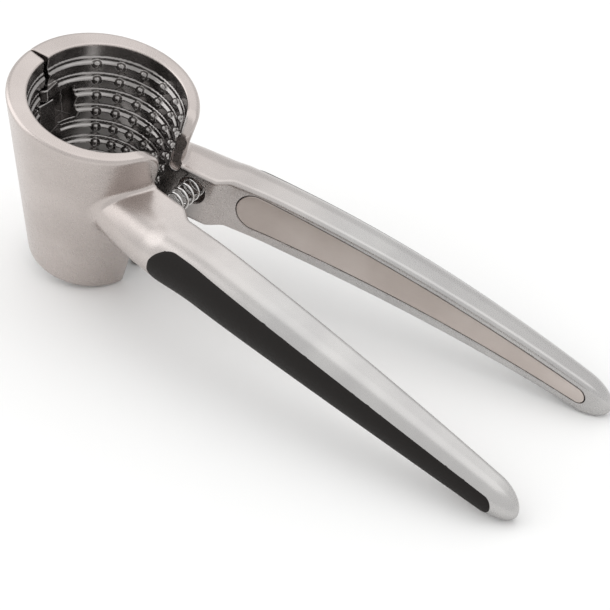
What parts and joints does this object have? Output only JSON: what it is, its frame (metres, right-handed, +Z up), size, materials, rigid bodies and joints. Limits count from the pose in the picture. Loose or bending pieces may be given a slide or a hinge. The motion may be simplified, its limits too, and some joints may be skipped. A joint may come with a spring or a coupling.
{
  "type": "cup nutcracker",
  "caption": "Lever nutcracker: a conical cup split into two hinged cast halves with long grip handles, a stepped bore that crushes the nut, and a return spring.",
  "frame": {"origin": "on the table, under the middle of the open tool's bounding box", "axes": "+X from the cup towards the handle tips, +Y towards the far half, +Z up with the tool lying on the handle side of its cup base and on both handle tips"},
  "size_m": [0.1796, 0.0618, 0.0651],
  "materials": {
    "jaw_metal": "die-cast zinc alloy with satin nickel plating",
    "plate_metal": "satin nickel, finely brushed along the handle",
    "grip_rubber": "matt black moulded rubber",
    "pin_steel": "ground steel dowel",
    "spring_steel": "bright drawn spring wire"
  },
  "bodies": {
    "near_half": {"near_jaw": "jaw_metal", "near_grip": "grip_rubber", "near_inner_plate": "plate_metal", "return_spring": "spring_steel"},
    "far_half": {"far_jaw": "jaw_metal", "far_grip": "grip_rubber", "far_inner_plate": "plate_metal", "hinge_pin": "pin_steel"}
  },
  "joints": [
    {"name": "jaw_hinge", "type": "hinge", "parent": "near_half", "child": "far_half", "pos_m": [-0.0851, 0, 0.0325], "axis": [0, 0, 1], "range_deg": [-13.7, 0], "stiffness_Nm_per_rad": 3, "springref_deg": 5.73, "deforming": ["return_spring"]}
  ]
}
